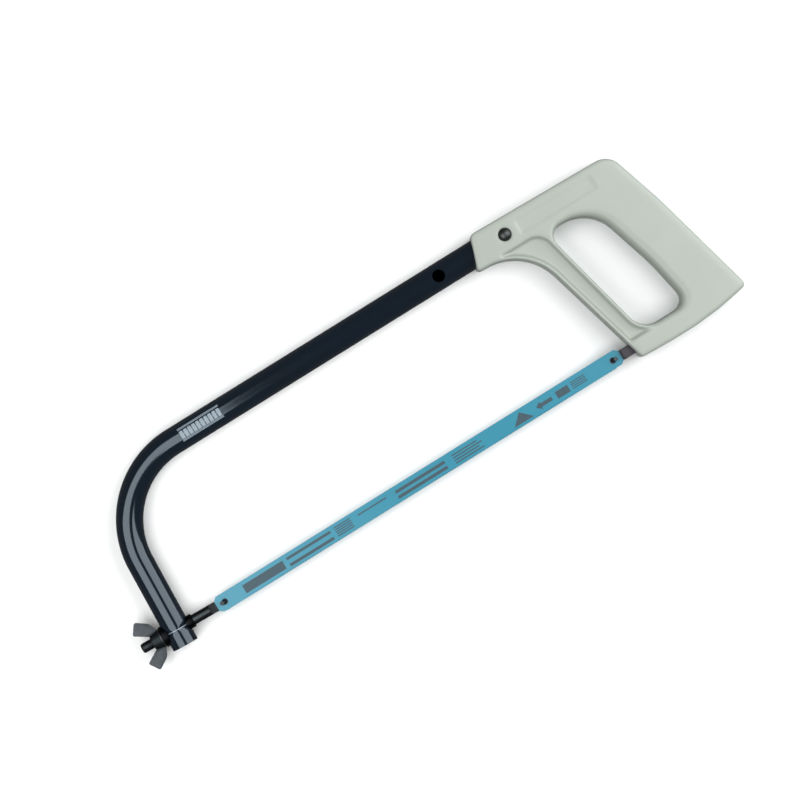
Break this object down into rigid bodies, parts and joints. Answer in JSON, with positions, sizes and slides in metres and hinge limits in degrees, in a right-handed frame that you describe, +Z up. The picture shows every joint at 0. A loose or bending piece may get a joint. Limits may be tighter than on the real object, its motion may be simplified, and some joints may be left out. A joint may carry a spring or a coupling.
{
  "type": "hacksaw",
  "caption": "Adjustable hacksaw with a bent tubular frame, a closed cast D handle, a spring lock button, a wing nut tensioner and a toothed blade on leaning pins.",
  "frame": {"origin": "centre of the saw's outline, on the surface that it lies on", "axes": "+X along the blade from the wing nut to the handle, +Y from the blade to the frame tube, +Z up through the saw's thickness"},
  "size_m": [0.4629, 0.1346, 0.025],
  "materials": {
    "casting_paint": "satin",
    "tube_enamel": "gloss",
    "button_steel": "satin",
    "spring_steel": "satin",
    "rivet_steel": "satin",
    "holder_steel": "satin",
    "pin_steel": "satin",
    "stud_black": "satin",
    "seat_black": "satin",
    "washer_steel": "satin",
    "nut_black": "satin",
    "blade_paint": "satin"
  },
  "bodies": {
    "handle": {"handle": "casting_paint", "lock_spring": "spring_steel", "spring_rivet": "rivet_steel", "rear_holder": "holder_steel", "rear_pin": "pin_steel", "holder_pin": "rivet_steel"},
    "button": {"lock_button": "button_steel"},
    "frame": {"frame_tube": "tube_enamel", "stud_guide": "seat_black", "nut_saddle": "seat_black", "thrust_washer": "washer_steel"},
    "nut": {"wing_nut": "nut_black"},
    "stud": {"tension_stud": "stud_black", "front_pin": "pin_steel"},
    "blade": {"blade": "blade_paint"}
  },
  "joints": [
    {"name": "frame_slide", "type": "slide", "parent": "handle", "child": "frame", "axis": [1, 0, 0], "range_m": [0, 0.0508], "deforming": ["lock_button"]},
    {"name": "button_press", "type": "slide", "parent": "handle", "child": "button", "axis": [0, 0, -1], "range_m": [0, 0.006], "stiffness_N_per_m": 800, "springref_m": -0.002, "deforming": ["lock_spring"]},
    {"name": "wing_nut_turn", "type": "hinge", "parent": "frame", "child": "nut", "pos_m": [-0.16755, -0.05178, 0.01175], "axis": [-0.9995, 0.0314, 0], "range_deg": [0, 345]},
    {"name": "stud_slide", "type": "slide", "parent": "frame", "child": "stud", "axis": [0.9995, -0.0314, 0], "range_m": [0, 0.0009]},
    {"name": "blade_lift", "type": "slide", "parent": "handle", "child": "blade", "axis": [0.342, 0, 0.9397], "range_m": [0, 0.0743]}
  ],
  "couplings": [
    {"joint": "wing_nut_turn", "follows": "stud_slide", "rad_per_m": 6283.2},
    {"joint": "blade_lift", "follows": "frame_slide", "ratio": 1.4619}
  ]
}
